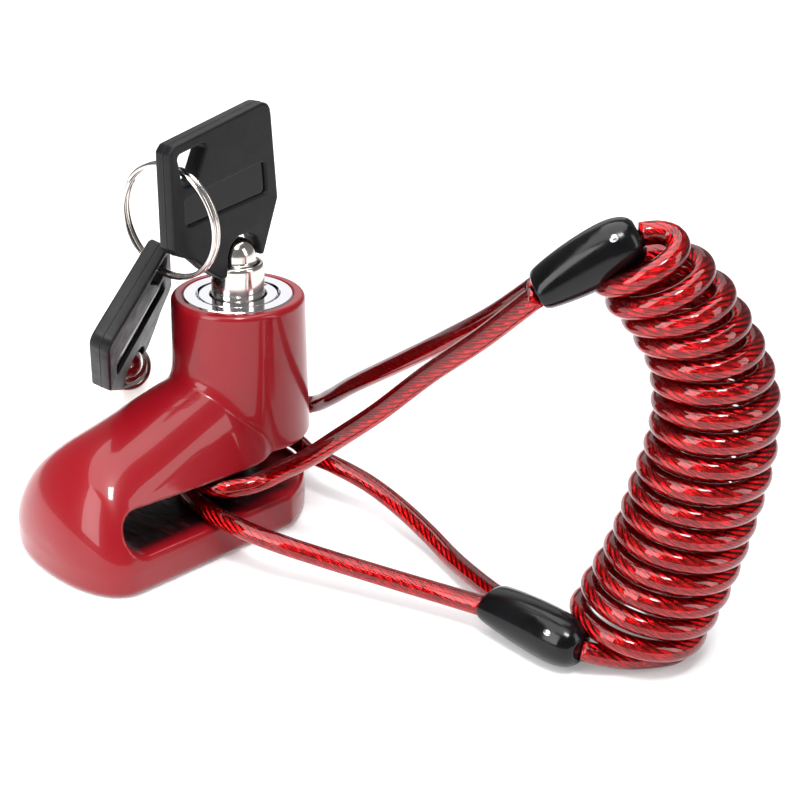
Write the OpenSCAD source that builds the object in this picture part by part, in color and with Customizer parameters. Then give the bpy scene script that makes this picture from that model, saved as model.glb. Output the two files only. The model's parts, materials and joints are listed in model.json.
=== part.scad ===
// Push-type motorcycle disc brake lock: die-cast shoe and tower, spring-up
// plunger with an axial pin-tumbler cylinder, inserted key, spare key on a
// split ring, and a coiled steel reminder cable looped round the locking pin.
// Millimetres. +Z is up along the tower, +X runs from the nose to the open
// end of the disc slot. The origin is on the base, under the tower's axis.

/* [Lock body] */
// Width of the shoe across the disc slot
body_w = 33; // [32:0.5:34]
// Distance from the tower's axis to the tip of the nose
nose_x = 43.5; // [42:0.1:45]
// Height of the tower
tower_h = 41; // [40.6:0.1:42]
// Tower radius just under its rim
tower_r = 12.05; // [11.9:0.05:12.6]
// Tower radius at the disc slot
tower_foot_r = 12.8; // [12.6:0.05:13.4]
// Underside of the disc slot, above the base
slot_z0 = 6.8; // [6.6:0.1:6.8]
// Top of the disc slot, above the base
slot_z1 = 14; // [14:0.1:14.6]
// Distance from the tower's axis to the closed end of the slot
slot_end_x = 36.4; // [35:0.1:37]
// Radius of the rounded edge round the base
base_fillet = 1.8; // [1.5:0.1:3]

/* [Plunger and cylinder] */
// Radius of the bore that the plunger slides in
plunger_bore_r = 10.05; // [10.02:0.01:10.1]
// Radius of the plunger
plunger_r = 9.95; // [9.9:0.01:9.98]
// Radius of the locking pin
pin_r = 2.9; // [2.8:0.05:2.95]
// Tip of the locking pin, above the base
pin_tip_z = 2.7; // [2.6:0.1:3.5]
// Radius of the cylinder shell seen in the plunger's top
shell_r = 7.2; // [7.1:0.01:7.5]
// Radius of the keyway
keyway_r = 5.05; // [5:0.01:5.2]

/* [Keys] */
// Outer radius of the key's tube
key_r = 4.75; // [4.6:0.05:4.8]
// Thickness of the key's plastic head
head_t = 3.8; // [3.4:0.1:4.2]
// Angle of the inserted key about the tower's axis
key_angle = 5; // [0:1:10]
// Mean radius of the split ring
ring_r = 10; // [9.8:0.1:10.2]
// Wire radius of the split ring
ring_wire_r = 0.5; // [0.4:0.05:0.55]

/* [Cable] */
// Outside diameter of the coated cable
cable_d = 3.4; // [3.2:0.1:3.4]

/* [Hidden] */
hw = body_w / 2;
cr = cable_d / 2;
bore_floor = 21.5;
web_z = 25.2;
cam_z = 28.8;

// ---------- lock body ----------
side_z = 4.6;
nose_s = 29.8;
function zridge(x) = 27.65 - 0.302 * (-12.3 - x);
function znose(x) = side_z + (zridge(-nose_s) - side_z) * pow(max(0, 1 - pow((-nose_s - x) / (nose_x - nose_s), 1.86)), 1 / 1.86);
function ztail(x) = 11 + (zridge(-9) - 11) * sqrt(max(0, 1 - pow((x + 9) / 3.6, 2)));
function ztop(x) = x < -nose_s ? znose(x) : x < -9 ? zridge(x) : x < -5.4 ? ztail(x) : 11;
function halfw(x) =
  x < -36.2 ? hw * pow(max(0, 1 - pow((-36.2 - x) / (nose_x - 36.2), 2)), 1 / 2.15) :
  x > -2.1 ? hw * pow(max(0, 1 - pow((x + 2.1) / 12.5, 1.25)), 1 / 2.15) : hw;
function zbase(x) = x < -nose_x + base_fillet
  ? base_fillet - sqrt(max(0, pow(base_fillet, 2) - pow(-nose_x + base_fillet - x, 2)))
  : x > 10.4 - base_fillet
  ? base_fillet - sqrt(max(0, pow(base_fillet, 2) - pow(x - 10.4 + base_fillet, 2))) : 0;
// half outline of one cross-section, from the base's middle up to the ridge
function half_section(x) = let(w = halfw(x), h = max(0.2, ztop(x) - side_z), zb = zbase(x),
    hf = x > -9 ? zridge(-9) - side_z : h, f = min(base_fillet, w * 0.6))
  concat([for (i = [0:4]) [w - f + f * sin(i * 22.5), zb + (base_fillet - zb) * (1 - cos(i * 22.5))]],
    [for (i = [0:12]) let(a = i * 7.5, c = pow(cos(a), 2 / 2.15), d = pow(sin(a), 2 / 1.49))
      [w * c, max(min(side_z + hf * d, 11), side_z + h * d)]]);
function section(x) = let(h = half_section(x), n = len(h))
  concat([for (i = [0:n - 2]) [x, h[i][0], h[i][1]]], [[x, 0, h[n - 1][1]]],
    [for (i = [n - 2:-1:0]) [x, -h[i][0], h[i][1]]]);
body_x = concat([for (i = [0:8]) -nose_x + 0.04 + (nose_x - 36.2) * (1 - cos(i * 11.25))],
  [-34, -32, -29.8, -26, -20, -14, -9], [for (i = [1:5]) -9 + 3.6 * sin(i * 18)],
  [-4, -2.1], [for (i = [1:10]) -2.1 + 12.47 * sin(i * 9)]);

module loft(rings) {
  n = len(rings[0]);
  m = len(rings);
  polyhedron(points = [for (r = rings) for (p = r) p],
    faces = concat([[for (i = [0:n - 1]) i]],
      [for (k = [0:m - 2]) for (i = [0:n - 1]) [k * n + i, (k + 1) * n + i, (k + 1) * n + (i + 1) % n]],
      [for (k = [0:m - 2]) for (i = [0:n - 1]) [k * n + i, (k + 1) * n + (i + 1) % n, k * n + (i + 1) % n]],
      [[for (i = [n - 1:-1:0]) (m - 1) * n + i]]));
}

module slot_void() {
  r = (slot_z1 - slot_z0) / 2 - 0.02;
  cx = -slot_end_x + r;
  zc = (slot_z0 + slot_z1) / 2;
  rotate([90, 0, 0]) translate([0, 0, -40]) linear_extrude(80)
    polygon(concat([[40, slot_z0], [40, slot_z1]],
      [for (i = [0:12]) [cx - r * sin(i * 15), zc + (r + 0.02) * cos(i * 15)]]));
}

module tower() {
  t = 1.0;
  f = 1.6;
  rotate_extrude($fn = 96) polygon(concat([[0, slot_z1 - 0.1], [tower_foot_r - f, slot_z1 - 0.1]],
    [for (i = [0:4]) [tower_foot_r - f + f * sin(i * 22.5), slot_z1 - 0.1 + f * (1 - cos(i * 22.5))]],
    [for (i = [0:4]) [tower_r - t + t * cos(i * 22.5), tower_h - t + t * sin(i * 22.5)]],
    [[0, tower_h]]));
}

module lock_body() {
  color([0.62, 0.03, 0.05]) difference() {
    union() {
      loft([for (x = body_x) section(x)]);
      tower();
    }
    slot_void();
    // plunger bore, spring seat, locking pin's bores
    translate([0, 0, bore_floor]) cylinder(r = plunger_bore_r, h = 40, $fn = 96);
    translate([0, 0, 17.7]) cylinder(r = 5, h = 10, $fn = 64);
    translate([0, 0, 10]) cylinder(r = pin_r + 0.07, h = 12, $fn = 64);
    translate([0, 0, 2.4]) cylinder(r = pin_r + 0.1, h = 10, $fn = 64);
    // cross hole for the retaining pin, drilled from the open end
    translate([-5.2, 9.3, 37.9]) rotate([0, 90, 0]) cylinder(r = 0.9, h = 20, $fn = 32);
    // pocket for the latch tongue
    translate([-11.3, -2.4, 27.5]) cube([3, 4.8, 2.6]);
  }
}

module retaining_pin() {
  color([0.6, 0.6, 0.62]) translate([-5.2, 9.3, 37.9]) rotate([0, 90, 0]) cylinder(r = 0.9, h = 12.2, $fn = 32);
}

// ---------- plunger ----------
module plunger_barrel() {
  color([0.86, 0.86, 0.9]) difference() {
    rotate_extrude($fn = 96) polygon([[0, 22], [plunger_r - 0.4, 22], [plunger_r, 22.4],
      [plunger_r, tower_h - 0.25], [plunger_r - 0.25, tower_h], [0, tower_h]]);
    translate([0, 0, 30.2]) cylinder(r = 7.62, h = 20, $fn = 96);
    translate([0, 0, 27.4]) cylinder(r = 5.6, h = 4, $fn = 64);
    translate([0, 0, 20]) cylinder(r = 5, h = web_z - 20, $fn = 64);
    translate([0, 0, 24]) cylinder(r = pin_r, h = 4, $fn = 64);
    // flat that the retaining pin runs in: it stops the plunger at both ends
    translate([-12, 8.35, 24.2]) cube([24, 5, 14.8]);
    // window of the latch tongue
    translate([-11, -2.2, 27.7]) cube([6.4, 4.4, 2.2]);
  }
}

module latch_tongue() {
  color([0.55, 0.56, 0.6]) translate([-9.7, -2, 28.1]) cube([3.9, 4, 1.4]);
}

module locking_pin() {
  color([0.75, 0.75, 0.78]) rotate_extrude($fn = 64) polygon([[0, pin_tip_z], [pin_r - 0.6, pin_tip_z],
    [pin_r, pin_tip_z + 0.6], [pin_r, 27.4], [4.6, 27.4], [4.6, 28.5], [0, 28.5]]);
}

module return_spring() {
  color([0.5, 0.5, 0.54]) helix(4.0, 0.3, 18.1, 24.8, 6, 12, 6);
}

// a coil spring: mean radius, wire radius, lowest and highest wire centre, turns
module helix(rm, rw, z0, z1, turns, steps, sides) {
  n = turns * steps;
  rings = [for (k = [0:n]) let(a = k * 360 / steps, z = z0 + (z1 - z0) * k / n)
    [for (j = [0:sides - 1]) let(b = j * 360 / sides, rr = rm + rw * cos(b))
      [rr * cos(a), rr * sin(a), z + rw * sin(b)]]];
  m = len(rings);
  polyhedron(points = [for (q = rings) for (p = q) p],
    faces = concat([[for (i = [0:sides - 1]) i]],
      [for (k = [0:m - 2]) for (i = [0:sides - 1]) [k * sides + i, (k + 1) * sides + i, (k + 1) * sides + (i + 1) % sides]],
      [for (k = [0:m - 2]) for (i = [0:sides - 1]) [k * sides + i, (k + 1) * sides + (i + 1) % sides, k * sides + (i + 1) % sides]],
      [[for (i = [sides - 1:-1:0]) (m - 1) * sides + i]]));
}

// ---------- axial pin-tumbler cylinder ----------
module at_pins() { for (i = [0:6]) rotate([0, 0, 30 + i * 45]) translate([4.05, 0, 0]) children(); }

module cylinder_shell() {
  color([0.82, 0.82, 0.88]) difference() {
    rotate_extrude($fn = 96) polygon([[keyway_r, 30.3], [7.62, 30.3], [7.62, 38.2], [shell_r, 38.2],
      [shell_r, tower_h - 0.35], [shell_r - 0.2, tower_h - 0.1], [keyway_r + 0.2, tower_h - 0.1], [keyway_r, tower_h - 0.35]]);
    rotate([0, 0, key_angle]) translate([4, -0.8, 38]) cube([2.6, 1.6, 4]);
  }
}

module pin_block() {
  color([0.78, 0.64, 0.35]) difference() {
    translate([0, 0, 30.3]) cylinder(r = keyway_r, h = 3, $fn = 64);
    translate([0, 0, 29]) cylinder(r = 1.45, h = 6, $fn = 32);
    at_pins() translate([0, 0, 30.7]) cylinder(r = 0.55, h = 4, $fn = 24);
  }
}

module plug_rotor() {
  color([0.7, 0.7, 0.74]) difference() {
    rotate_extrude($fn = 64) polygon([[0, 28.8], [1.4, 28.8], [1.4, 33.35], [4.98, 33.35], [4.98, 35.3],
      [3.2, 35.3], [3.2, 40.2], [2.8, 40.6], [0, 40.6]]);
    at_pins() translate([0, 0, 33]) cylinder(r = 0.5, h = 4, $fn = 24);
    rotate([0, 0, key_angle]) translate([2.4, -0.7, 35.3]) cube([2, 1.4, 8]);
  }
}

module rotor_clip() {
  color([0.5, 0.5, 0.54]) translate([0, 0, 30.05]) difference() {
    cylinder(r = 2.6, h = 0.2, $fn = 48);
    translate([0, 0, -1]) cylinder(r = 1.4, h = 3, $fn = 32);
  }
}

module tail_cam() {
  color([0.78, 0.64, 0.35]) difference() {
    translate([0, 0, cam_z]) union() {
      cylinder(r = 3.4, h = 1.1, $fn = 48);
      translate([-4.4, -1.2, 0]) cube([3, 2.4, 1.1]);
    }
    translate([0, 0, 25]) cylinder(r = 1.4, h = 8, $fn = 32);
  }
}

module key_pins() {
  color([0.8, 0.66, 0.36]) at_pins() translate([0, 0, 33.4]) cylinder(r = 0.46, h = 1.9, $fn = 24);
}

module driver_pins() {
  color([0.8, 0.66, 0.36]) at_pins() translate([0, 0, 32.1]) cylinder(r = 0.46, h = 1.15, $fn = 24);
}

module pin_springs() {
  color([0.6, 0.6, 0.64]) at_pins() helix(0.34, 0.1, 30.82, 31.98, 4, 8, 4);
}

// ---------- keys, drawn in the inserted key's place, before key_angle ----------
hole_s = -12;
hole_z = 67.2;

module head_plate(t) {
  rotate([90, 0, 0]) translate([0, 0, -t / 2]) linear_extrude(t) difference() {
    polygon([[-15.2, 70.9], [-16.2, 69.8], [-16.2, 53.2], [-15.2, 52], [-11.5, 50.4], [-8.6, 47.6],
      [-5.6, 45.4], [-4.2, 45.4], [-4.2, 49.3], [-3.2, 51.3], [-1.2, 52.5], [1.2, 52.5], [3.1, 51.4], [4.1, 49.5],
      [4.1, 47.9], [4.8, 47.8], [8.7, 57.3], [7.1, 72.7], [6.2, 74.3], [4.8, 74.8]]);
    // triangular hole for the ring
    polygon([[-8.6, 70.4], [-14, 69.4], [-14.5, 68.8], [-13.7, 64.3], [-13.2, 63.8], [-11.3, 63.8], [-10.8, 64.1], [-8.1, 69.6]]);
  }
}

module key_head_shape() {
  color([0.03, 0.03, 0.035]) difference() {
    union() {
      head_plate(head_t);
    }
    // recessed label panel on both faces
    for (s = [-1, 1]) rotate([90, 0, 0]) translate([0, 0, s * (head_t / 2 + 0.1) - (s > 0 ? 0.6 : 0)]) linear_extrude(0.6)
      polygon([[-13.2, 61.6], [-13.2, 56.8], [5.8, 58.8], [5.3, 64.4]]);
    // moulded round the key's tang
    translate([-3, -0.6, 50]) cube([6, 1.2, 6.5]);
    translate([0, 0, 40]) cylinder(r = key_r, h = 7.2, $fn = 64);
    translate([0, 0, 40]) cylinder(r = 3.9, h = 12, $fn = 64);
  }
}

module key_tube_shape() {
  color([0.8, 0.79, 0.77]) {
    difference() {
      union() {
        rotate_extrude($fn = 64) polygon(concat([[0, 35.5], [key_r - 0.15, 35.5], [key_r, 35.7], [key_r, 46.4],
          [key_r - 0.3, 46.9], [3.3, 47.1]],
          [for (i = [0:6]) [3.3 * cos(i * 15), 48.2 + 3.3 * sin(i * 15)]]));
        translate([-3, -0.6, 50]) cube([6, 1.2, 6.5]);
      }
      translate([0, 0, 30]) cylinder(r = 3.35, h = 15, $fn = 64);
    }
    // inner guide nib
    difference() {
      translate([2.75, -0.55, 35.6]) cube([0.9, 1.1, 1.6]);
    }
  }
}

module key_head() { rotate([0, 0, key_angle]) key_head_shape(); }
module key_tube() { rotate([0, 0, key_angle]) key_tube_shape(); }

// ---------- split ring: two turns of wire side by side ----------
ring_place = [-12.55, 2.34, 56.51];
ring_turn = [0, 87.7, 12.8];
module split_ring() {
  color([0.78, 0.76, 0.74]) translate(ring_place) rotate(ring_turn)
    for (s = [-0.49, 0.49]) translate([0, 0, s]) rotate_extrude($fn = 96)
      translate([ring_r, 0]) circle(r = ring_wire_r, $fn = 16);
}

// ---------- spare key: its ring hole is carried to the low side of the ring ----------
spare_hole = [-13.10, 7.90, 46.61];
spare_turn = [-26.5, 39.9, -163.6];
module at_spare() { translate(spare_hole) rotate(spare_turn) translate([-hole_s, 0, -hole_z]) children(); }
module spare_key_head() { at_spare() key_head_shape(); }
module spare_key_tube() { at_spare() key_tube_shape(); }

// ---------- cable ----------
// sweep a round tube of radius r along points p
function unit(v) = v / norm(v);
function tangent(p, i) = unit(p[min(i + 1, len(p) - 1)] - p[max(i - 1, 0)]);
function side_of(t) = unit(cross(t, abs(t[2]) > 0.9 ? [1, 0, 0] : [0, 0, 1]));
module tube(p, r, sides) {
  rings = [for (i = [0:len(p) - 1]) let(t = tangent(p, i), u = side_of(t), v = cross(t, u))
    [for (j = [0:sides - 1]) let(a = (j + 0.5) * 360 / sides) p[i] + r * (cos(a) * u + sin(a) * v)]];
  loft(rings);
}

// strand end and coil end of each moulded sleeve
us0 = [-0.4, -68.6, 60.9];
us1 = [9.2, -78.5, 69.8];
ls0 = [1.2, -62.4, 4.5];
ls1 = [1.2, -80.9, 4.5];

module aim(a, b) {
  d = b - a;
  translate(a) rotate([0, acos(d[2] / norm(d)), atan2(d[1], d[0])]) children();
}
module sleeve_shape(l) {
  color([0.03, 0.03, 0.03]) difference() {
    rotate_extrude($fn = 64) polygon([[0, 0], [3.1, 0], [3.6, 0.5], [3.9, 1.4], [4.2, l * 0.3], [4.38, l * 0.55],
      [4.38, l * 0.78], [4.2, l * 0.87], [3.8, l * 0.94], [3.2, l * 0.985], [2.6, l], [0, l]]);
    translate([0, 0, l * 0.3]) cylinder(r = 3.1, h = l * 0.4, $fn = 48);
  }
}
module ferrule_shape(l) {
  color([0.75, 0.75, 0.77]) difference() {
    translate([0, 0, l * 0.3 + 0.2]) cylinder(r = 3.05, h = l * 0.4 - 0.4, $fn = 48);
    translate([0, 0, l * 0.3 - 1]) cylinder(r = 2.2, h = l, $fn = 48);
  }
}
module upper_sleeve() { aim(us0, us1) sleeve_shape(norm(us1 - us0)); }
module lower_sleeve() { aim(ls0, ls1) sleeve_shape(norm(ls1 - ls0)); }
module upper_ferrule() { aim(us0, us1) ferrule_shape(norm(us1 - us0)); }
module lower_ferrule() { aim(ls0, ls1) ferrule_shape(norm(ls1 - ls0)); }

upper_route = [[-1.8, -69.8, 60.9], [-2.5, -60.2, 51.4], [-3.1, -50.7, 42.9], [-4.6, -41, 33.2], [-5.8, -33.3, 26.2],
  [-6.9, -25.9, 19.6], [-7.8, -21, 15.8], [-9.2, -17.6, 13.1], [-12, -15.9, 12.2], [-15.4, -14, 12.2], [-17, -10, 12.2],
  [-16.6, -4.6, 12.2], [-13.6, 1.4, 12.2], [-8, 6.6, 12.2], [0, 8.6, 12.2], [8, 7, 12.2], [13.9, 3.6, 12.4], [16.9, -1.4, 13.9],
  [15.4, -8.4, 18.5], [13.3, -15.5, 23.7], [8.9, -32.5, 35.3], [5.1, -47.2, 45.4], [2.4, -58.6, 53.6], [1, -67.3, 60.9]];
lower_route = [[-0.8, -62.4, 4.5], [-3.6, -54.9, 4.8], [-7.8, -45.4, 5.6], [-12.4, -35.6, 6.7], [-15.8, -29, 7.8],
  [-18, -22.3, 8.5], [-18.6, -14, 8.6], [-17.6, -6.5, 8.6], [-14, 0, 8.6], [-8, 5.5, 8.6], [0, 7.5, 8.6], [6.5, 6, 8.6],
  [10.3, 2, 8.6], [10.6, -3.8, 8.6], [9.1, -9.6, 8.6], [9.6, -15.6, 8.5], [11.2, -22.8, 7], [11.7, -30.7, 5],
  [10.5, -39, 3.6], [8.4, -46.9, 2.8], [5.7, -55.2, 3.4], [3.2, -62.4, 4.5]];
upper_lead = [[9.2, -78.5, 69.8], [10.6, -79.9, 70.9], [12.4, -81.7, 71.2], [14.1, -83.5, 70.4], [15.2, -84.7, 68.2]];
lower_lead = [[1.2, -80.9, 4.5], [3.6, -83.3, 3.2], [7.2, -85.6, 2.2], [11, -87.6, 2], [15, -89.3, 2], [19, -89.6, 2.4]];

module upper_loop_cable() { color([0.6, 0.02, 0.03]) tube(upper_route, cr, 8); }
module lower_loop_cable() { color([0.6, 0.02, 0.03]) tube(lower_route, cr, 8); }
module upper_coil_lead() { color([0.6, 0.02, 0.03]) tube(upper_lead, cr, 8); }
module lower_coil_lead() { color([0.6, 0.02, 0.03]) tube(lower_lead, cr, 8); }

// outer shape of the close-wound coil: it stands on its lowest turn and bows sideways
coil_base = [13.4, -82.8, 0];
coil_side = [0.697, -0.717, 0];
coil_back = [0.717, 0.697, 0];
// [sideways shift, height, outer radius, lean in degrees]
coil_path = [[-1, 2.1, 11, 8], [-0.1, 6.2, 11.1, 8], [2.2, 12, 11, 8], [4.1, 17.9, 10.7, 8], [5.6, 25, 10.4, 6],
  [6.6, 30, 10.3, 4], [7.5, 36, 9.9, 1], [8, 41.1, 9.8, -3], [7.6, 46, 9.5, -8], [6.2, 51, 9.2, -13],
  [3.2, 56.5, 9, -20], [0.2, 60.5, 8.9, -25], [-3.2, 66.8, 8.5, -30]];
module cable_coil() {
  color([0.6, 0.02, 0.03]) loft([for (c = coil_path) [for (j = [0:15]) let(a = -j * 22.5)
    coil_base + (c[0] + c[2] * cos(a) * cos(c[3])) * coil_side + c[2] * sin(a) * coil_back + [0, 0, c[1] - c[2] * cos(a) * sin(c[3])]]]);
}

lock_body();
plunger_barrel();
cylinder_shell();
pin_block();
plug_rotor();
rotor_clip();
tail_cam();
key_pins();
driver_pins();
pin_springs();
latch_tongue();
locking_pin();
return_spring();
retaining_pin();
key_head();
key_tube();
split_ring();
spare_key_head();
spare_key_tube();
upper_sleeve();
lower_sleeve();
upper_ferrule();
lower_ferrule();
upper_loop_cable();
lower_loop_cable();
upper_coil_lead();
lower_coil_lead();
cable_coil();
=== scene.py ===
# Disc brake lock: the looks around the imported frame. Metres, the frame's own axes.
import json
import math
import bpy
import numpy as np
from mathutils import Matrix, Vector


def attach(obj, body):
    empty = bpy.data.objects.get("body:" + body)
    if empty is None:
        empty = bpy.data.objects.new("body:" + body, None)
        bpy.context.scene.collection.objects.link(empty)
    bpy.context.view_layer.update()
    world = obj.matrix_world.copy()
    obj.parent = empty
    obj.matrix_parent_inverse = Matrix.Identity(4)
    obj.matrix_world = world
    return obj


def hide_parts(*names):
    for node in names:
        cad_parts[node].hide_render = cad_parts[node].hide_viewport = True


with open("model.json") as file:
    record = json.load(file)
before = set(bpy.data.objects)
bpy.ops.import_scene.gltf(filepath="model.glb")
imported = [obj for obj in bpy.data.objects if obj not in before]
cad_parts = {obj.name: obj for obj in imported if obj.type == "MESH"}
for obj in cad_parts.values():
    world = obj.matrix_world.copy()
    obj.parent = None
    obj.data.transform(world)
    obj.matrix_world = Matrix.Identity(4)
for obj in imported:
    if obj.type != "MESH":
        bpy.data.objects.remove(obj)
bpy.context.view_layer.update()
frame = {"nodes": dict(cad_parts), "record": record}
MM = 0.001
scene = bpy.context.scene
scene.view_settings.view_transform = "Standard"

# ------------------------------------------------------------------ camera
cam_data = bpy.data.cameras.new("camera")
cam_data.sensor_width = 36.0
cam_data.lens = 63.0
cam_data.clip_start = 0.01
cam_data.clip_end = 20
cam = bpy.data.objects.new("camera", cam_data)
scene.collection.objects.link(cam)
right = Vector((0.70514783, -0.70864829, 0.02416898))
up = Vector((0.28639986, 0.31583574, 0.90455675))
back = Vector((-0.64864602, -0.63092423, 0.42566765))
m = Matrix((right, up, back)).transposed().to_4x4()
m.translation = Vector((-0.14859178, -0.18591521, 0.13156174))
cam.matrix_world = m
scene.camera = cam


# ------------------------------------------------------------------ helpers
def link(obj, body):
    scene.collection.objects.link(obj)
    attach(obj, body)
    return obj


def mesh_obj(name, verts, faces, mat, smooth=True, uv=None, normals=None):
    me = bpy.data.meshes.new(name)
    verts = np.asarray(verts, dtype=np.float64)
    me.from_pydata(verts.tolist(), [], [list(map(int, f)) for f in faces])
    if uv is not None:
        layer = me.uv_layers.new(name="UVMap")
        loops = np.empty(len(me.loops), dtype=np.int32)
        me.loops.foreach_get("vertex_index", loops)
        layer.data.foreach_set("uv", np.asarray(uv, dtype=np.float32)[loops].ravel())
    me.materials.append(mat)
    me.polygons.foreach_set("use_smooth", [smooth] * len(me.polygons))
    if normals is not None:
        me.normals_split_custom_set_from_vertices(np.asarray(normals, dtype=np.float64).tolist())
    me.update()
    return bpy.data.objects.new(name, me)


def spline(points, step, closed=False):
    """Catmull-Rom through the points, resampled at an even step."""
    p = np.asarray(points, dtype=np.float64)
    if closed:
        q = np.vstack([p[-1], p, p[0], p[1]])
    else:
        q = np.vstack([2 * p[0] - p[1], p, 2 * p[-1] - p[-2]])
    d = np.sqrt(np.linalg.norm(np.diff(q, axis=0), axis=1))
    t = np.concatenate([[0], np.cumsum(d)])
    out = []
    for i in range(1, len(q) - 2):
        t0, t1, t2, t3 = t[i - 1:i + 3]
        s = np.linspace(t1, t2, 24, endpoint=False)[:, None]
        a1 = (t1 - s) / (t1 - t0) * q[i - 1] + (s - t0) / (t1 - t0) * q[i]
        a2 = (t2 - s) / (t2 - t1) * q[i] + (s - t1) / (t2 - t1) * q[i + 1]
        a3 = (t3 - s) / (t3 - t2) * q[i + 1] + (s - t2) / (t3 - t2) * q[i + 2]
        b1 = (t2 - s) / (t2 - t0) * a1 + (s - t0) / (t2 - t0) * a2
        b2 = (t3 - s) / (t3 - t1) * a2 + (s - t1) / (t3 - t1) * a3
        out.append((t2 - s) / (t2 - t1) * b1 + (s - t1) / (t2 - t1) * b2)
    out = np.vstack(out + [q[-2][None]])
    return resample(out, step)


def resample(path, step):
    L = np.concatenate([[0], np.cumsum(np.linalg.norm(np.diff(path, axis=0), axis=1))])
    n = max(2, int(round(L[-1] / step)) + 1)
    s = np.linspace(0, L[-1], n)
    return np.column_stack([np.interp(s, L, path[:, k]) for k in range(3)])


def frames(path):
    """Tangent and two normals carried along the path without twist."""
    t = np.gradient(path, axis=0)
    t /= np.linalg.norm(t, axis=1)[:, None]
    a = np.cross(t[0], [0, 0, 1.0])
    if np.linalg.norm(a) < 0.1:
        a = np.cross(t[0], [1.0, 0, 0])
    a /= np.linalg.norm(a)
    A = [a]
    for i in range(1, len(t)):
        v = A[-1] - t[i] * np.dot(A[-1], t[i])
        A.append(v / np.linalg.norm(v))
    A = np.array(A)
    return t, A, np.cross(t, A)


def tube(name, path, radius, mat, sides=20, lobes=0, depth=0.0, pitch=1.0, taper=None):
    """Tube round a path; with lobes it is a bundle of twisted strands."""
    t, A, B = frames(path)
    n = len(path)
    L = np.concatenate([[0], np.cumsum(np.linalg.norm(np.diff(path, axis=0), axis=1))])
    ang = np.arange(sides) * 2 * math.pi / sides
    turn = (2 * math.pi * L / pitch)[:, None] if lobes else np.zeros((n, 1))
    r = np.full((n, sides), radius)
    if lobes:
        r = radius - depth * (1 - np.sqrt(np.abs(np.cos(ang[None, :] * lobes / 2)))) + 0 * turn
    if taper is not None:
        r = r * taper(L / L[-1])[:, None]
    a = ang[None, :] + turn
    V = path[:, None, :] + r[..., None] * (np.cos(a)[..., None] * A[:, None, :] + np.sin(a)[..., None] * B[:, None, :])
    V = V.reshape(-1, 3)
    i = np.arange(n - 1)[:, None] * sides
    j = np.arange(sides)[None, :]
    j2 = (j + 1) % sides
    F = np.stack([i + j, i + j2, i + sides + j2, i + sides + j], -1).reshape(-1, 4).tolist()
    F.append(list(range(sides - 1, -1, -1)))
    F.append([(n - 1) * sides + k for k in range(sides)])
    return mesh_obj(name, V, F, mat)


def lathe(name, profile, mat, seg=128, origin=(0, 0, 0)):
    """profile: closed list of (r, z) in metres, anticlockwise."""
    p = np.asarray(profile, dtype=np.float64)
    a = np.arange(seg) * 2 * math.pi / seg
    V = np.stack([p[:, 0][None] * np.cos(a)[:, None], p[:, 0][None] * np.sin(a)[:, None],
                  np.repeat(p[:, 1][None], seg, 0)], -1).reshape(-1, 3) + np.array(origin)
    n = len(p)
    F = []
    for i in range(seg):
        for j in range(n):
            F.append([i * n + j, ((i + 1) % seg) * n + j, ((i + 1) % seg) * n + (j + 1) % n, i * n + (j + 1) % n])
    o = mesh_obj(name, V, F, mat)
    return o


def arc(cx, cy, r, a0, a1, n=6):
    return [(cx + r * math.cos(math.radians(a0 + (a1 - a0) * k / n)), cy + r * math.sin(math.radians(a0 + (a1 - a0) * k / n)))
            for k in range(n + 1)]


def fillet(points, radius, n=5):
    """Polygon with its corners rounded; radius is one number or one per corner."""
    out = []
    c = len(points)
    for i in range(c):
        rr = radius[i] if isinstance(radius, (list, tuple)) else radius
        p, a, b = (np.array(points[i], float), np.array(points[i - 1], float), np.array(points[(i + 1) % c], float))
        u = a - p
        v = b - p
        lu, lv = np.linalg.norm(u), np.linalg.norm(v)
        u, v = u / lu, v / lv
        half = math.acos(max(-1, min(1, float(u @ v)))) / 2
        if rr <= 0 or half > 1.5:
            out.append(tuple(p))
            continue
        d = min(rr / math.tan(half), 0.45 * lu, 0.45 * lv)
        s, e = p + u * d, p + v * d
        for k in range(n + 1):
            w = k / n
            out.append(tuple((1 - w) ** 2 * s + 2 * w * (1 - w) * p + w * w * e))
    return out


def plate(name, outlines, thickness, bevel, mat, transform, segments=3):
    """Flat plate standing in the XZ plane, cut by the later outlines, with rounded edges."""
    cu = bpy.data.curves.new(name, "CURVE")
    cu.dimensions = "2D"
    cu.fill_mode = "BOTH"
    for o in outlines:
        s = cu.splines.new("POLY")
        s.points.add(len(o) - 1)
        for pt, q in zip(s.points, o):
            pt.co = (q[0], q[1], 0, 1)
        s.use_cyclic_u = True
    cu.extrude = thickness / 2 - bevel
    cu.bevel_depth = bevel
    cu.bevel_resolution = segments
    cu.offset = -bevel
    tmp = bpy.data.objects.new(name + "_tmp", cu)
    scene.collection.objects.link(tmp)
    bpy.context.view_layer.update()
    me = bpy.data.meshes.new_from_object(tmp.evaluated_get(bpy.context.evaluated_depsgraph_get()))
    bpy.data.objects.remove(tmp)
    bpy.data.curves.remove(cu)
    me.name = name
    me.transform(transform @ Matrix.Rotation(math.radians(90), 4, "X"))
    me.materials.clear()
    me.materials.append(mat)
    me.polygons.foreach_set("use_smooth", [True] * len(me.polygons))
    me.set_sharp_from_angle(angle=math.radians(32))
    me.update()
    return bpy.data.objects.new(name, me)


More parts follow.
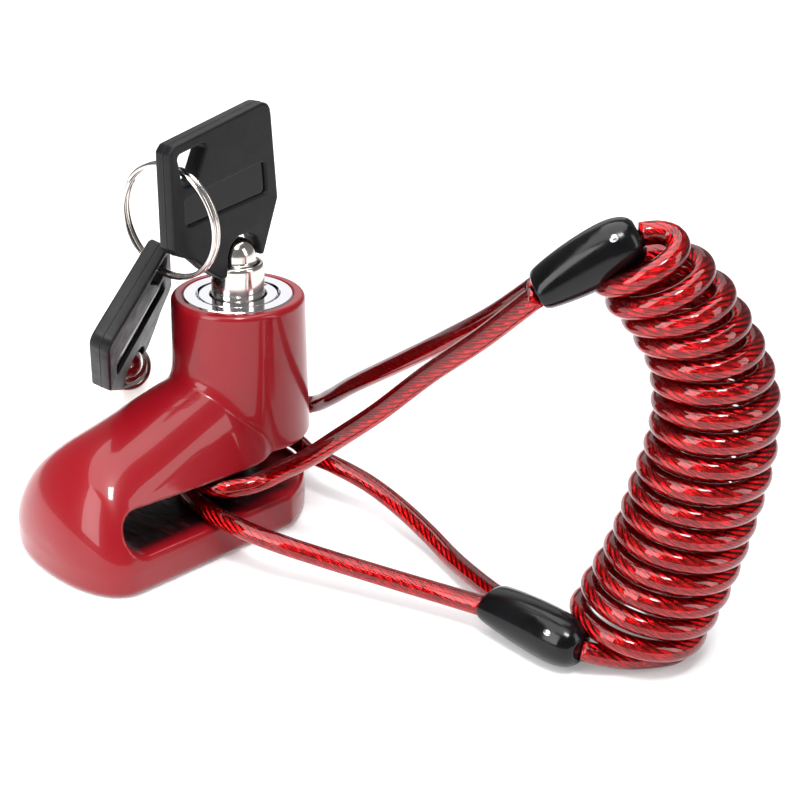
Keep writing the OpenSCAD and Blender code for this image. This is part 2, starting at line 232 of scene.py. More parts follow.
# ------------------------------------------------------------------ materials
class Mat:
    def __init__(self, name):
        self.m = bpy.data.materials.new(name)
        self.m.use_nodes = True
        self.t = self.m.node_tree
        self.b = self.t.nodes["Principled BSDF"]

    def set(self, **kw):
        for k, v in kw.items():
            self.b.inputs[k.replace("_", " ")].default_value = v
        return self

    def node(self, kind, **kw):
        n = self.t.nodes.new(kind)
        for k, v in kw.items():
            if k in n.inputs:
                n.inputs[k].default_value = v
            else:
                setattr(n, k, v)
        return n

    def link(self, a, b):
        self.t.links.new(a, b)

    def coords(self, scale=(1, 1, 1)):
        c = self.node("ShaderNodeTexCoord")
        mp = self.node("ShaderNodeMapping")
        mp.inputs["Scale"].default_value = scale
        self.link(c.outputs["Object"], mp.inputs["Vector"])
        return mp.outputs["Vector"]

    def noise(self, scale, detail=3.0, rough=0.5, vec=None):
        n = self.node("ShaderNodeTexNoise")
        n.inputs["Scale"].default_value = scale
        n.inputs["Detail"].default_value = detail
        n.inputs["Roughness"].default_value = rough
        self.link(vec or self.coords(), n.inputs["Vector"])
        return n.outputs["Fac"]

    def bump(self, height, strength, distance, normal=None, out="Normal"):
        n = self.node("ShaderNodeBump")
        n.inputs["Strength"].default_value = strength
        n.inputs["Distance"].default_value = distance
        self.link(height, n.inputs["Height"])
        if normal is not None:
            self.link(normal, n.inputs["Normal"])
        if out:
            self.link(n.outputs["Normal"], self.b.inputs[out])
        return n.outputs["Normal"]

    def ramp(self, fac, stops, out=None):
        n = self.node("ShaderNodeValToRGB")
        e = n.color_ramp.elements
        while len(e) < len(stops):
            e.new(0.5)
        for el, (pos, col) in zip(e, stops):
            el.position = pos
            el.color = col if len(col) == 4 else (*col, 1)
        self.link(fac, n.inputs["Fac"])
        if out:
            self.link(n.outputs["Color"], self.b.inputs[out])
        return n.outputs["Color"]

    def mix(self, fac, a, b, out=None):
        n = self.node("ShaderNodeMix", data_type="RGBA")
        for sock, v in ((n.inputs[0], fac), (n.inputs[6], a), (n.inputs[7], b)):
            if isinstance(v, bpy.types.NodeSocket):
                self.link(v, sock)
            else:
                sock.default_value = v if not isinstance(v, tuple) or len(v) == 4 else (*v, 1)
        if out:
            self.link(n.outputs[2], self.b.inputs[out])
        return n.outputs[2]

    def math(self, op, a, b=0.0):
        n = self.node("ShaderNodeMath", operation=op)
        for sock, v in ((n.inputs[0], a), (n.inputs[1], b)):
            if isinstance(v, bpy.types.NodeSocket):
                self.link(v, sock)
            else:
                sock.default_value = v
        return n.outputs[0]


def paint_material():
    k = Mat("red_gloss_paint")
    k.set(Roughness=0.30, Coat_Weight=0.55, Coat_Roughness=0.03, Coat_IOR=1.45)
    k.b.inputs["Specular IOR Level"].default_value = 0.18
    # the slot attribute marks the slot's inside; there the colour is painted shade, near black deep in the slot, with
    # patches and scratch marks of bare casting, and the coat is thinner and the bump rougher
    at = k.node("ShaderNodeAttribute", attribute_name="slot")
    lip = k.node("ShaderNodeAttribute", attribute_name="lip")
    slot_patch_noise = k.noise(420, 5, 0.65, k.coords((1, 0.35, 1)))
    red = k.ramp(k.noise(60, 3), [(0.3, (0.225, 0.0040, 0.0085)), (0.7, (0.255, 0.0050, 0.0105))])
    # painted shade for the slot's inside: near black and dark red, with light grey-brown scratch marks of bare casting
    slot_shade_and_scratches = k.ramp(slot_patch_noise, [(0.36, (0.003, 0.002, 0.002)), (0.62, (0.030, 0.003, 0.004)), (0.80, (0.12, 0.08, 0.075))])
    # a patchy light grey strip over the red along the slot's top lip edge
    lip_strip = k.ramp(slot_patch_noise, [(0.40, (0.20, 0.010, 0.012)), (0.62, (0.30, 0.20, 0.19))])
    first = k.mix(lip.outputs["Fac"], red, lip_strip)
    k.mix(at.outputs["Fac"], first, slot_shade_and_scratches, "Base Color")
    k.link(k.math("MULTIPLY_ADD", at.outputs["Fac"], -0.45), k.b.inputs["Coat Weight"])
    w = k.t.links[-1].from_node
    w.inputs[2].default_value = 0.55
    peel = k.math("MULTIPLY", k.noise(260, 2), 0.5)
    rough = k.math("MULTIPLY", slot_patch_noise, at.outputs["Fac"])
    n1 = k.bump(rough, 0.6, 0.0005, out=None)
    k.bump(peel, 0.10, 0.00006, n1)
    k.bump(peel, 0.05, 0.00006, out="Coat Normal")
    return k.m


def chrome_material():
    k = Mat("chrome_plate")
    k.set(Base_Color=(0.86, 0.86, 0.90, 1), Metallic=1.0)
    k.ramp(k.noise(300, 4), [(0.3, (0.05,) * 3), (0.75, (0.14,) * 3)], "Roughness")
    k.bump(k.noise(900, 2), 0.05, 0.00005)
    return k.m


def metal_material(name, color, r0, r1, scale=500, bump=0.08):
    k = Mat(name)
    k.set(Metallic=1.0)
    k.ramp(k.noise(scale * 0.3, 3), [(0.3, tuple(c * 0.9 for c in color)), (0.7, color)], "Base Color")
    k.ramp(k.noise(scale, 4), [(0.3, (r0,) * 3), (0.75, (r1,) * 3)], "Roughness")
    k.bump(k.noise(scale * 2, 2), bump, 0.00006)
    return k.m


def key_plastic():
    k = Mat("black_key_plastic")
    k.ramp(k.noise(240, 3), [(0.3, (0.0040, 0.0040, 0.0048)), (0.75, (0.0080, 0.0080, 0.0092))], "Base Color")
    k.b.inputs["Specular IOR Level"].default_value = 0.22
    k.ramp(k.noise(420, 4), [(0.3, (0.36,) * 3), (0.75, (0.50,) * 3)], "Roughness")
    n = k.bump(k.noise(2600, 3, 0.6), 0.22, 0.0001, out=None)
    k.bump(k.noise(160, 2), 0.2, 0.0002, n)
    return k.m


def panel_plastic():
    k = Mat("black_key_panel")
    k.set(Base_Color=(0.0022, 0.0020, 0.0022, 1))
    k.b.inputs["Specular IOR Level"].default_value = 0.25
    k.ramp(k.noise(300, 3), [(0.3, (0.06,) * 3), (0.75, (0.12,) * 3)], "Roughness")
    k.bump(k.noise(260, 2), 0.08, 0.0001)
    return k.m


def sleeve_material():
    k = Mat("black_sleeve")
    k.ramp(k.noise(150, 3), [(0.3, (0.0015, 0.0015, 0.0018)), (0.75, (0.0035, 0.0035, 0.0042))], "Base Color")
    k.ramp(k.noise(350, 4), [(0.3, (0.12,) * 3), (0.8, (0.26,) * 3)], "Roughness")
    k.b.inputs["Specular IOR Level"].default_value = 0.30
    k.bump(k.noise(500, 3), 0.12, 0.0001)
    return k.m


def pvc_material():
    k = Mat("red_cable")
    k.set(Transmission_Weight=1.0, IOR=1.46)
    k.ramp(k.noise(300, 3), [(0.3, (0.62, 0.036, 0.048)), (0.75, (0.74, 0.060, 0.072))], "Base Color")
    k.ramp(k.noise(500, 3), [(0.3, (0.0,) * 3), (0.8, (0.03,) * 3)], "Roughness")
    k.bump(k.noise(420, 2), 0.04, 0.0001)
    return k.m


def strand_material():
    k = Mat("cable_strands")
    k.set(Metallic=1.0)
    k.ramp(k.noise(900, 3), [(0.3, (0.34, 0.025, 0.032)), (0.75, (0.72, 0.12, 0.13))], "Base Color")
    k.set(Roughness=0.24)
    k.bump(k.noise(3000, 2), 0.4, 0.0001)
    return k.m


PAINT = paint_material()
CHROME = chrome_material()
NICKEL = metal_material("nickel", (0.70, 0.66, 0.62), 0.10, 0.24)
STEEL = metal_material("steel", (0.52, 0.52, 0.53), 0.22, 0.4)
SPRING = metal_material("spring_steel", (0.42, 0.42, 0.44), 0.25, 0.42)
BRASS = metal_material("brass", (0.72, 0.53, 0.24), 0.2, 0.36)
ALU = metal_material("aluminium", (0.78, 0.78, 0.80), 0.2, 0.4)
KEYBLACK = key_plastic()
PANEL = panel_plastic()
SLEEVE = sleeve_material()
PVC = pvc_material()
STRAND = strand_material()
BY_SLOT = {"red_gloss_paint": PAINT, "chrome_plate": CHROME, "nickel": NICKEL, "steel": STEEL,
           "spring_steel": SPRING, "brass": BRASS, "aluminium": ALU, "black_key_plastic": KEYBLACK,
           "black_sleeve": SLEEVE, "red_cable": PVC}
for sub in frame["record"]["subparts"]:
    ob = frame["nodes"].get(sub["node"])
    if ob is not None and ob.type == "MESH":
        ob.data.materials.clear()
        ob.data.materials.append(BY_SLOT[sub["material_slot"]])

# ------------------------------------------------------------------ cables
CABLE_R = 0.0017
CORE_R = 0.00136
US0, US1 = np.array([-0.0004, -0.0686, 0.0609]), np.array([0.0092, -0.0785, 0.0698])
LS0, LS1 = np.array([0.0012, -0.0624, 0.0045]), np.array([0.0012, -0.0809, 0.0045])
UPPER_ROUTE = [
    (-0.0018, -0.0698, 0.0609), (-0.0025, -0.0602, 0.0514), (-0.0031, -0.0507, 0.0429), (-0.0046, -0.041, 0.0332),
    (-0.0058, -0.0333, 0.0262), (-0.0069, -0.0259, 0.0196), (-0.0078, -0.021, 0.0158), (-0.0092, -0.0176, 0.0131),
    (-0.012, -0.0159, 0.0122), (-0.0154, -0.014, 0.0122), (-0.017, -0.01, 0.0122), (-0.0166, -0.0046, 0.0122),
    (-0.0136, 0.0014, 0.0122), (-0.008, 0.0066, 0.0122), (0, 0.0086, 0.0122), (0.008, 0.007, 0.0122),
    (0.0139, 0.0036, 0.0124), (0.0169, -0.0014, 0.0139), (0.0154, -0.0084, 0.0185), (0.0133, -0.0155, 0.0237),
    (0.0089, -0.0325, 0.0353), (0.0051, -0.0472, 0.0454), (0.0024, -0.0586, 0.0536), (0.001, -0.0673, 0.0609),
]
LOWER_ROUTE = [
    (-0.0008, -0.0624, 0.0045), (-0.0036, -0.0549, 0.0048), (-0.0078, -0.0454, 0.0056), (-0.0124, -0.0356, 0.0067),
    (-0.0158, -0.029, 0.0078), (-0.018, -0.0223, 0.0085), (-0.0186, -0.014, 0.0086), (-0.0176, -0.0065, 0.0086),
    (-0.014, 0, 0.0086), (-0.008, 0.0055, 0.0086), (0, 0.0075, 0.0086), (0.0065, 0.006, 0.0086),
    (0.0103, 0.002, 0.0086), (0.0106, -0.0038, 0.0086), (0.0091, -0.0096, 0.0086), (0.0096, -0.0156, 0.0085),
    (0.0112, -0.0228, 0.007), (0.0117, -0.0307, 0.005), (0.0105, -0.039, 0.0036), (0.0084, -0.0469, 0.0028),
    (0.0057, -0.0552, 0.0034), (0.0032, -0.0624, 0.0045),
]
UPPER_LEAD = [(0.0092, -0.0785, 0.0698), (0.0106, -0.0797, 0.0706), (0.0126, -0.0812, 0.0709), (0.0142, -0.0830, 0.0704)]
LOWER_LEAD = [(0.0133, -0.0893, 0.0021), (0.0090, -0.0873, 0.0022), (0.0048, -0.0845, 0.0030), (0.0012, -0.0809, 0.0045)]
COIL_BASE = np.array([0.0134, -0.0828, 0.0])
COIL_SIDE = np.array([0.697, -0.717, 0.0])
COIL_NEAR = np.array([-0.717, -0.697, 0.0])
# middle of each turn's near half: sideways, height, outer diameter (mm), slope seen (degrees)
TURNS = [(-5.13, 65.97, 16.9, 30.2), (-2.49, 62.45, 17.3, 24.0), (0.55, 59.5, 17.8, 19.0), (2.8, 56.1, 18.0, 15.2),
         (5.1, 52.6, 18.2, 11.6), (6.7, 48.9, 18.7, 9.1), (7.6, 45.1, 19.2, 7.3), (7.95, 41.1, 19.5, 5.0),
         (7.8, 37.1, 19.8, 2.8), (7.3, 33.1, 20.3, 1.0), (6.5, 29.2, 20.6, -0.6), (5.8, 25.4, 20.8, -2.2),
         (5.1, 21.6, 20.9, -3.0), (4.1, 17.8, 21.2, -4.2), (2.9, 13.9, 21.6, -6.0), (1.4, 10.1, 21.9, -7.6),
         (-0.1, 6.2, 22.1, -8.0), (-1.2, 2.0, 22.2, -5.0)]


def helix_point(T):
    i = np.arange(1, len(TURNS) + 1)
    h, z, od, sl = [np.interp(T, i, [row[k] for row in TURNS]) for k in range(4)]
    if T < 1:
        z = TURNS[0][1] + (1 - T) * 3.4
        h = TURNS[0][0] - (1 - T) * 1.4
    R = od / 2 - 1.75
    lean = math.radians(sl - 5.5)
    a = 2 * math.pi * (T + 0.25)
    e1 = COIL_SIDE * math.cos(lean) + np.array([0, 0, math.sin(lean)])
    return COIL_BASE + MM * (h * COIL_SIDE + np.array([0, 0, z]) + R * (math.cos(a) * e1 + math.sin(a) * COIL_NEAR))


def clear_floor(p):
    p = p.copy()
    p[:, 2] = np.maximum(p[:, 2], CABLE_R + 0.00006)
    return p


def ease_ends(p, reach=46, rounds=60):
    """Round off the bends where the coil's two tails leave the helix."""
    n = len(p)
    i = np.minimum(np.arange(n), np.arange(n)[::-1])
    w = np.clip((reach - i) / 16, 0, 1) * np.clip(i / 3, 0, 1)
    for _ in range(rounds):
        q = p.copy()
        q[1:-1] = (p[:-2] + 2 * p[1:-1] + p[2:]) / 4
        p = p + (q - p) * w[:, None]
    return resample(p, step)


step = 0.0006
upper_path = spline(UPPER_ROUTE, step)
lower_path = clear_floor(spline(LOWER_ROUTE, step))
coil_ctrl = UPPER_LEAD[:3] + [tuple(helix_point(T)) for T in np.arange(0.80, 17.86, 1 / 16)] + LOWER_LEAD
coil_path = clear_floor(ease_ends(spline(coil_ctrl, step)))


def cable(name, path):
    skin = link(tube(name, resample(path, 0.0008), CABLE_R, PVC, sides=24), "body")
    core = link(tube(name + "_strands", path, CORE_R, STRAND, sides=45, lobes=9, depth=0.00040, pitch=0.0165), "body")
    return skin, core


upper_cable, upper_core = cable("upper_loop", upper_path)
lower_cable, lower_core = cable("lower_loop", lower_path)
coil_cable, coil_core = cable("coil", coil_path)
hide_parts("upper_loop_cable")
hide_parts("lower_loop_cable")
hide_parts("cable_coil", "upper_coil_lead", "lower_coil_lead")


def sleeve(name, a, b, node):
    """Moulded sleeve from the strand end a to the coil end b: an oval mouth, a full round belly, a rounded shoulder."""
    d = b - a
    l = np.linalg.norm(d)
    d = d / l
    near = COIL_NEAR - d * (COIL_NEAR @ d)
    near /= np.linalg.norm(near)
    tall = np.cross(d, near)
    # place along the sleeve, half-width across the view, half-depth towards the camera (mm)
    rows = [(0.0, 1.2, 2.6), (0.0, 2.35, 3.75), (0.012, 2.7, 4.0), (0.05, 3.05, 4.12), (0.12, 3.35, 4.2), (0.22, 3.68, 4.25), (0.34, 3.98, 4.3),
            (0.48, 4.22, 4.33), (0.62, 4.33, 4.35), (0.74, 4.3, 4.32), (0.83, 4.1, 4.1), (0.89, 3.8, 3.8), (0.94, 3.4, 3.4),
            (0.975, 2.9, 2.9), (1.0, 2.2, 2.2), (1.0, 1.4, 1.4)]
    rows = np.array(rows)
    t = np.arange(len(rows))
    tt = np.linspace(0, len(rows) - 1, 91)
    s, w, q = [np.interp(tt, t, rows[:, k]) for k in range(3)]
    for _ in range(3):
        for arr in (s, w, q):
            arr[1:-1] = (arr[:-2] + 2 * arr[1:-1] + arr[2:]) / 4
    seg = 48
    ang = np.arange(seg) * 2 * math.pi / seg
    V = (a + d * (s * l)[:, None])[:, None, :] + MM * (w[:, None, None] * np.cos(ang)[None, :, None] * tall + q[:, None, None] * np.sin(ang)[None, :, None] * near)
    V = V.reshape(-1, 3)
    n = len(s)
    i = np.arange(n - 1)[:, None] * seg
    j = np.arange(seg)[None, :]
    j2 = (j + 1) % seg
    F = np.stack([i + j, i + seg + j, i + seg + j2, i + j2], -1).reshape(-1, 4).tolist()
    F.append(list(range(seg)))
    F.append([(n - 1) * seg + k for k in range(seg - 1, -1, -1)])
    o = link(mesh_obj(name, V, F, SLEEVE), "body")
    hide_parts(node)
    return o, d, near, tall, l


def sleeve_dot(name, a, d, near, tall, l, at, phi, rx, ry):
    """The ferrule's metal showing through the moulding's small window."""
    q = near * math.sin(phi) + tall * math.cos(phi)
    c = a + d * (at * l) + q * 0.0040
    u = np.cross(q, d)
    V, F = [], []
    for k in range(7):
        e = k / 6 * math.pi / 2
        for j in range(24):
            g = j * 2 * math.pi / 24
            V.append(c + d * rx * math.cos(e) * math.cos(g) + u * ry * math.cos(e) * math.sin(g) + q * 0.00042 * math.sin(e))
    for k in range(6):
        for j in range(24):
            F.append([k * 24 + j, k * 24 + (j + 1) % 24, (k + 1) * 24 + (j + 1) % 24, (k + 1) * 24 + j])
    F.append([6 * 24 + j for j in range(24)])
    F.append(list(range(23, -1, -1)))
    o = link(mesh_obj(name, V, F, ALU), "body")
    return o


us, *ua = sleeve("upper_sleeve_skin", US0, US1, "upper_sleeve")
ls, *la = sleeve("lower_sleeve_skin", LS0, LS1, "lower_sleeve")
ud = sleeve_dot("upper_sleeve_window", US0, *ua, at=0.80, phi=math.pi - 0.9, rx=0.00075, ry=0.00062)
ld = sleeve_dot("lower_sleeve_window", LS0, *la, at=0.76, phi=math.pi - 0.9, rx=0.0008, ry=0.00055)


# ------------------------------------------------------------------ lock body
HW = 16.5
NOSE = 43.5
SIDE = 4.6


def zridge(x):
    return 27.65 - 0.302 * (-12.3 - x)


def gauss(t, sigma, step_):
    k = np.arange(-int(4 * sigma / step_), int(4 * sigma / step_) + 1) * step_
    w = np.exp(-0.5 * (k / sigma) ** 2)
    n = len(k) // 2
    return np.convolve(np.concatenate([np.full(n, t[0]), t, np.full(n, t[-1])]), w / w.sum(), "valid")


def profiles():
    """Ridge height and plan rounding along the shoe, their joins eased."""
    x = np.arange(-46.0, 16.0, 0.02)
    nose = SIDE + (zridge(-29.8) - SIDE) * np.clip(1 - (np.clip(-29.8 - x, 0, None) / (NOSE - 29.8)) ** 1.86, 0, 1) ** (1 / 1.86)
    tail = 11 + (zridge(-10.2) - 11) * np.clip(1 - (np.clip(x + 10.2, 0, None) / 8.0) ** 2.5, 0, 1) ** 0.75
    z = np.where(x < -29.8, nose, np.where(x < -10.2, zridge(x), tail))
    near = np.exp(-((x + 29.6) / 6.0) ** 4)
    z = z * (1 - near) + gauss(z, 2.2, 0.02) * near
    near = np.clip((x + 12) / 2, 0, 1)
    z = z * (1 - near) + gauss(z, 0.8, 0.02) * near
    e = np.where(x < -36.2, (np.clip(-36.2 - x, 0, None) / (NOSE - 36.2)) ** 2.0,
                 np.where(x > -2.1, (np.clip(x + 2.1, 0, None) / 12.5) ** 1.25, 0.0))
    near = np.exp(-((x + 36.2) / 4.0) ** 4)
    e = e * (1 - near) + gauss(e, 0.9, 0.02) * near
    return x, z, e


PX, PZ, PE = profiles()


def ztop(x):
    return np.interp(x, PX, PZ)


def smin(a, b, k):
    h = np.clip(0.5 + 0.5 * (b - a) / k, 0, 1)
    return b * (1 - h) + a * h - k * h * (1 - h)


def smax(a, b, k):
    return -smin(-a, -b, k)


def slot_distance(x, z):
    hh = 3.6
    zc = 10.4
    cx = -32.8
    return np.where(x > cx, np.abs(z - zc) - hh, np.hypot(x - cx, z - zc) - hh)


def body_field(x, y, z):
    e = np.interp(x, PX, PE)
    H = np.where((z < 11) & (x > -9), zridge(-9) - SIDE, ztop(x) - SIDE)
    zz = np.clip(z - SIDE, 0, None) / np.maximum(H, 1.0)
    G = (np.abs(y) / HW) ** 2.15 + zz ** 1.49 * np.clip(1 - e, 0.05, 1) + e
    shoe = (np.clip(G, 1e-9, None) ** (1 / 2.15) - 1) * 12.0
    shoe = smax(shoe, -z, 1.9)
    r = np.hypot(x, y)
    rt = 12.8 + (12.05 - 12.8) * np.clip((z - 14) / (41 - 14), 0, 1)
    qa = r - (rt - 1.0)
    qb = np.abs(z - 27.45) - (13.55 - 1.0)
    tower = np.hypot(np.clip(qa, 0, None), np.clip(qb, 0, None)) + np.minimum(np.maximum(qa, qb), 0) - 1.0
    low = np.clip((20 - z) / 5, 0, 1)
    k = 1.2 + 1.0 * low * low * (3 - 2 * low)
    f = smin(shoe, tower, k)
    f = smax(f, -slot_distance(x, z), 0.7)
    f = smax(f, -np.maximum(r - 10.05, 21.5 - z), 0.25)
    f = smax(f, -np.maximum(r - 3.0, 2.4 - z), 0.2)
    return f


def field_gradient(v, e=0.02):
    g = np.empty_like(v)
    for k in range(3):
        a = v.copy()
        b = v.copy()
        a[:, k] += e
        b[:, k] -= e
        g[:, k] = (body_field(*a.T) - body_field(*b.T)) / (2 * e)
    return g


def surface_nets(field, lo, hi, h):
    ax = [np.arange(lo[k], hi[k] + h, h) for k in range(3)]
    X, Y, Z = np.meshgrid(*ax, indexing="ij")
    Fv = field(X, Y, Z)
    S = Fv < 0
    n = [len(a) - 1 for a in ax]
    cnt = np.zeros(n, int)
    for i in (0, 1):
        for j in (0, 1):
            for k in (0, 1):
                cnt += S[i:i + n[0], j:j + n[1], k:k + n[2]]
    mixed = (cnt > 0) & (cnt < 8)
    idx = np.full(n, -1, int)
    idx[mixed] = np.arange(mixed.sum())
    acc = np.zeros((mixed.sum(), 3))
    num = np.zeros(mixed.sum())
    ci, cj, ck = np.nonzero(mixed)
    corner = [(i, j, k) for i in (0, 1) for j in (0, 1) for k in (0, 1)]
    for a in corner:
        for axis in range(3):
            if a[axis]:
                continue
            b = list(a)
            b[axis] = 1
            fa = Fv[ci + a[0], cj + a[1], ck + a[2]]
            fb = Fv[ci + b[0], cj + b[1], ck + b[2]]
            cross = (fa < 0) != (fb < 0)
            t = np.where(cross, fa / np.where(cross, fa - fb, 1), 0)
            p = np.stack([ci + a[0], cj + a[1], ck + a[2]], -1).astype(float)
            p[:, axis] += t
            acc += p * cross[:, None]
            num += cross
    V = acc / num[:, None] * h + np.array([a[0] for a in ax])
    faces = []
    for axis in range(3):
        sl0 = [slice(None)] * 3
        sl1 = [slice(None)] * 3
        sl0[axis] = slice(0, -1)
        sl1[axis] = slice(1, None)
        A, B = S[tuple(sl0)], S[tuple(sl1)]
        chg = A != B
        o1, o2 = [k for k in range(3) if k != axis]
        pos = np.argwhere(chg)
        pos = pos[(pos[:, o1] > 0) & (pos[:, o2] > 0) & (pos[:, o1] < n[o1]) & (pos[:, o2] < n[o2])]
        q = []
        for d1, d2 in ((-1, -1), (0, -1), (0, 0), (-1, 0)):
            c = pos.copy()
            c[:, o1] += d1
            c[:, o2] += d2
            q.append(idx[c[:, 0], c[:, 1], c[:, 2]])
        q = np.stack(q, -1)
        flip = A[pos[:, 0], pos[:, 1], pos[:, 2]]
        if axis == 1:
            flip = ~flip
        q = np.where(flip[:, None], q, q[:, ::-1])
        faces.append(q)
    return V, np.vstack(faces)


V, F = surface_nets(body_field, (-44.6, -17.3, -0.6), (13.6, 17.3, 41.8), 0.42)
for _ in range(4):
    g = field_gradient(V)
    gn = (g * g).sum(1)
    move = (body_field(*V.T) / np.maximum(gn, 1e-6))[:, None] * g
    ln = np.linalg.norm(move, axis=1)[:, None]
    V = V - move * np.minimum(1, 0.3 / np.maximum(ln, 1e-9))
g = field_gradient(V, 0.03)
N = g / np.linalg.norm(g, axis=1)[:, None]
body = mesh_obj("lock_body_skin", V * MM, F, PAINT, normals=N)
# slot mask: the slot's roof, floor and end wall; on the floor it fades out towards the front edge, so the painted shade
# darkens deeper into the slot
att = body.data.attributes.new("slot", "FLOAT", "POINT")
sd = slot_distance(V[:, 0], V[:, 2])
ay = np.abs(V[:, 1])
edge = np.where(V[:, 2] < 10.4, np.clip((15.2 - ay) / 2.6, 0, 1) * np.clip((4.0 - V[:, 0]) / 5, 0, 1), np.clip((16.2 - ay) / 0.5, 0, 1))
slot_shade_mask = np.clip(1 - (sd - 0.02) / 0.25, 0, 1) * edge * (np.abs(N[:, 1]) < 0.85) * (V[:, 0] < 13)
att.data.foreach_set("value", slot_shade_mask.astype(np.float32))
# lip mask: a narrow band round the slot's top lip edge, where the patchy light grey strip goes
att = body.data.attributes.new("lip", "FLOAT", "POINT")
lip = np.clip(1 - np.abs(V[:, 2] - 14.0) / 0.55, 0, 1) * np.clip((V[:, 0] + 30) / 3, 0, 1) * np.clip((-12 - V[:, 0]) / 4, 0, 1) * (N[:, 2] < 0.1)
att.data.foreach_set("value", lip.astype(np.float32))
link(body, "body")
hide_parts("lock_body")

# ------------------------------------------------------------------ keys
HEAD_T = 0.0038


def mmp(points):
    return [(x * MM, y * MM) for x, y in points]


OUTLINE = [(-15.2, 70.9), (-16.2, 69.8), (-16.2, 53.2), (-15.2, 52), (-11.5, 50.4), (-8.6, 47.6), (-5.6, 45.4), (-3.9, 45.4),
           (-3.9, 49.2), (-3.05, 51.2), (-1.1, 52.35), (1.1, 52.35), (2.95, 51.3), (3.8, 49.4), (3.9, 47.7), (4.9, 47.5),
           (8.7, 57.3), (7.05, 75.2)]
RADII = [1.0, 1.0, 1.4, 1.4, 1.0, 1.0, 0.5, 0.4, 1.6, 1.5, 1.8, 1.8, 1.5, 1.2, 0.5, 0.5, 1.4, 2.3]
HOLE = [(-8.6, 70.4), (-14, 69.4), (-14.5, 68.8), (-13.7, 64.3), (-13.2, 63.8), (-11.3, 63.8), (-10.8, 64.1), (-8.1, 69.6)]
LABEL = [(-13.2, 61.6), (-13.2, 56.8), (5.8, 58.8), (5.3, 64.5)]


def key(prefix, matrix, body, node_head, node_tube):
    outer = mmp(fillet(OUTLINE, RADII))
    hole = mmp(fillet(HOLE, 0.7, 4))[::-1]
    label = mmp(fillet(LABEL, 0.9, 4))[::-1]
    head = link(plate(prefix + "_head_skin", [outer, hole, label], HEAD_T, 0.00042, KEYBLACK, matrix), body)
    grow = mmp(fillet([(-13.6, 62.0), (-13.6, 56.4), (6.2, 58.4), (5.7, 65.0)], 0.9, 4))
    web = link(plate(prefix + "_label_panel", [grow], HEAD_T - 0.0011, 0.0001, PANEL, matrix, 1), body)
    seam = link(plate(prefix + "_parting_line", [mmp(fillet([(x + (0.07 if x > -4 else -0.07), z + (0.06 if z > 60 else -0.06)) for x, z in OUTLINE], RADII)),
                                                 mmp(fillet(HOLE, 0.7, 4))[::-1]], 0.00028, 0.0001, KEYBLACK, matrix, 1), body)
    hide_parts(node_head)
    prof = [(3.35, 45.0), (3.35, 35.75), (3.5, 35.55)] + [(4.55, 35.5), (4.70, 35.6), (4.75, 35.8), (4.75, 46.15)] + \
        [(4.70, 46.45), (4.58, 46.7), (4.38, 46.9), (4.1, 47.0), (3.75, 47.03), (3.5, 47.1), (3.34, 47.3), (3.3, 47.6)] + \
        arc(0, 48.2, 3.3, 6, 84, 9) + [(0.02, 51.5), (0.02, 45.0)]
    t = lathe(prefix + "_barrel_skin", [(a * MM, b * MM) for a, b in prof], NICKEL, 96)
    t.data.transform(matrix)
    t.data.set_sharp_from_angle(angle=math.radians(50))
    link(t, body)
    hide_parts(node_tube)
    return head, t


KEY = Matrix.Rotation(math.radians(5), 4, "Z")
key("key", KEY, "key", "key_head", "key_tube")


def scad_rotate(a, b, c):
    a, b, c = map(math.radians, (a, b, c))
    return Matrix.Rotation(c, 4, "Z") @ Matrix.Rotation(b, 4, "Y") @ Matrix.Rotation(a, 4, "X")


SPARE = Matrix.Translation(Vector((-13.1, 7.9, 46.61)) * MM) @ scad_rotate(-26.5, 39.9, -163.6) @ Matrix.Translation(Vector((12, 0, -67.2)) * MM)
key("spare", SPARE, "spare_key", "spare_key_head", "spare_key_tube")

# split ring: two turns of wire lying side by side, each end stepped over the other
RING = Matrix.Translation(Vector((-12.55, 2.34, 56.51)) * MM) @ scad_rotate(0, 87.7, 12.8)
pts = []
for k in range(0, 2 * 96 + 1):
    a = 2 * math.pi * k / 96
    w = k / 192
    s = -0.52 + 1.04 * min(1, max(0, (w - 0.46) / 0.08))
    q = RING @ Vector((10 * MM * math.cos(a + 2.2), 10 * MM * math.sin(a + 2.2), s * MM))
    pts.append(tuple(q))
ring = link(tube("split_ring_wire", np.array(pts), 0.00043, NICKEL, sides=20), "ring")
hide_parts("split_ring")

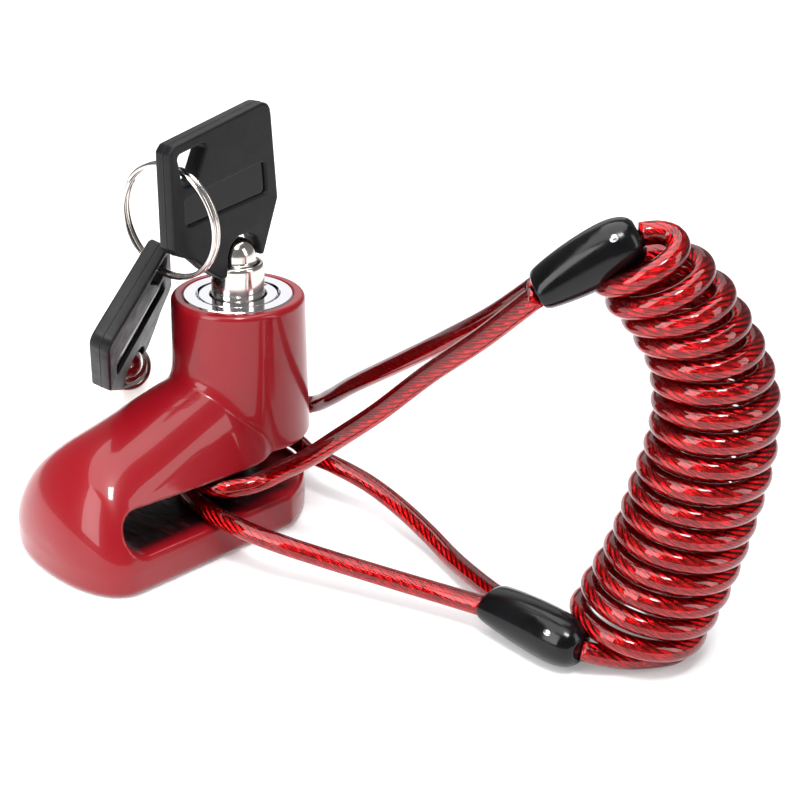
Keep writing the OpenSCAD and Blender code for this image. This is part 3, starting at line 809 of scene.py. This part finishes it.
# ------------------------------------------------------------------ floor and light
fm = Mat("floor")
fm.set(Roughness=0.6)
fm.b.inputs["Emission Color"].default_value = (1, 1, 1, 1)
fm.b.inputs["Emission Strength"].default_value = 0.20
fm.ramp(fm.noise(8, 2), [(0.3, (0.86, 0.86, 0.87)), (0.75, (0.88, 0.88, 0.89))], "Base Color")
fl = mesh_obj("floor", [(-3, -3, 0), (3, -3, 0), (3, 3, 0), (-3, 3, 0)], [(0, 1, 2, 3)], fm.m, smooth=False)
scene.collection.objects.link(fl)

world = bpy.data.worlds.new("world")
scene.world = world
world.use_nodes = True
wt = world.node_tree
bg = wt.nodes["Background"]
tc = wt.nodes.new("ShaderNodeTexCoord")
sep = wt.nodes.new("ShaderNodeSeparateXYZ")
wt.links.new(tc.outputs["Generated"], sep.inputs[0])
rp = wt.nodes.new("ShaderNodeValToRGB")
for el, (pos, c) in zip(rp.color_ramp.elements, ((0.45, 0.95), (1.0, 0.55))):
    el.position = pos
    el.color = (c, c, c * 1.01, 1)
mp = wt.nodes.new("ShaderNodeMapRange")
mp.inputs["From Min"].default_value = -1
wt.links.new(sep.outputs["Z"], mp.inputs["Value"])
wt.links.new(mp.outputs["Result"], rp.inputs["Fac"])
wt.links.new(rp.outputs["Color"], bg.inputs["Color"])
bg.inputs["Strength"].default_value = 0.30


def softbox(name, pos, target, sx, sy, power, color=(1, 1, 1)):
    ld_ = bpy.data.lights.new(name, "AREA")
    ld_.shape = "RECTANGLE"
    ld_.size = sx
    ld_.size_y = sy
    ld_.energy = power
    ld_.color = color
    o = bpy.data.objects.new(name, ld_)
    o.location = pos
    o.rotation_euler = (Vector(target) - Vector(pos)).to_track_quat("-Z", "Y").to_euler()
    scene.collection.objects.link(o)
    return o


softbox("top", (-0.05, 0.10, 0.85), (0, -0.03, 0), 1.1, 0.8, 9.5)
softbox("key", (-0.26, -0.345, 0.85), (0.01, -0.06, 0.03), 0.17, 0.17, 4.2)
softbox("left", (-0.62, 0.02, 0.34), (-0.01, -0.02, 0.02), 0.30, 0.55, 3.2)
softbox("back", (0.455, 0.44, 0.36), (0, 0, 0.04), 0.50, 0.34, 0.45)
softbox("front_right", (0.22, -0.66, 0.34), (0, -0.03, 0.02), 0.22, 0.6, 1.6)
